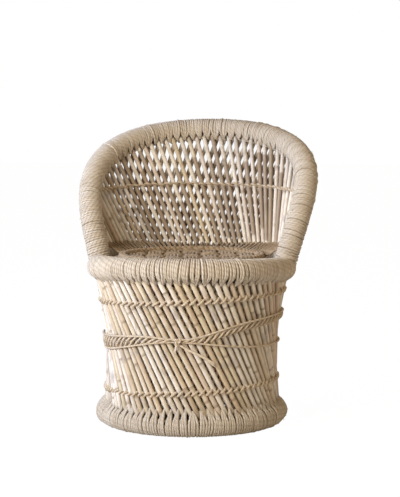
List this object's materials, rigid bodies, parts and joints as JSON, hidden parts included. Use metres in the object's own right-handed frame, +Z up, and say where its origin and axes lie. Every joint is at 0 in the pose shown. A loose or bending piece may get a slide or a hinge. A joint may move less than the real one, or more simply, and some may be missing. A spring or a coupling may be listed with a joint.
{
  "type": "child chair",
  "caption": "Small rigid chair of crossed straight reeds in a waisted drum, with rope-wrapped base, seat, arm and back rims, a woven rope seat and twine tied round the waist.",
  "frame": {"origin": "on the floor, under the middle of the chair's box", "axes": "+Z up, the seat's open front faces -Y, +X to the right seen from the front"},
  "size_m": [0.416, 0.4352, 0.5119],
  "materials": {
    "reed": "dry natural cane, satin skin with node rings",
    "cane": "bent split cane",
    "grass": "packed dry grass",
    "rope": "twisted fibre rope, wound turn on turn",
    "seat_rope": "woven and braided fibre rope",
    "twine": "thin twisted twine"
  },
  "bodies": {
    "root": {"back_band_inner": "twine", "back_band_outer": "twine", "back_inner_hoop": "cane", "back_outer_hoop": "cane", "back_rim_bundle": "grass", "back_rim_wrap": "rope", "base_inner_hoop": "cane", "base_outer_hoop": "cane", "base_rim_bundle": "grass", "base_rim_wrap": "rope", "inner_reeds_back": "reed", "inner_reeds_front": "reed", "inner_reeds_left": "reed", "inner_reeds_right": "reed", "lower_band_inner": "twine", "lower_band_outer": "twine", "outer_reeds_back": "reed", "outer_reeds_front": "reed", "outer_reeds_left": "reed", "outer_reeds_right": "reed", "seat_edge_braid": "seat_rope", "seat_hoop": "cane", "seat_inner_hoop": "cane", "seat_outer_hoop": "cane", "seat_rim_bundle": "grass", "seat_rim_wrap": "rope", "seat_weave": "seat_rope", "upper_band_inner": "twine", "upper_band_outer": "twine", "waist_band": "twine", "waist_cord": "twine", "waist_knot": "twine", "waist_tail_long": "twine", "waist_tail_short": "twine"}
  },
  "joints": []
}
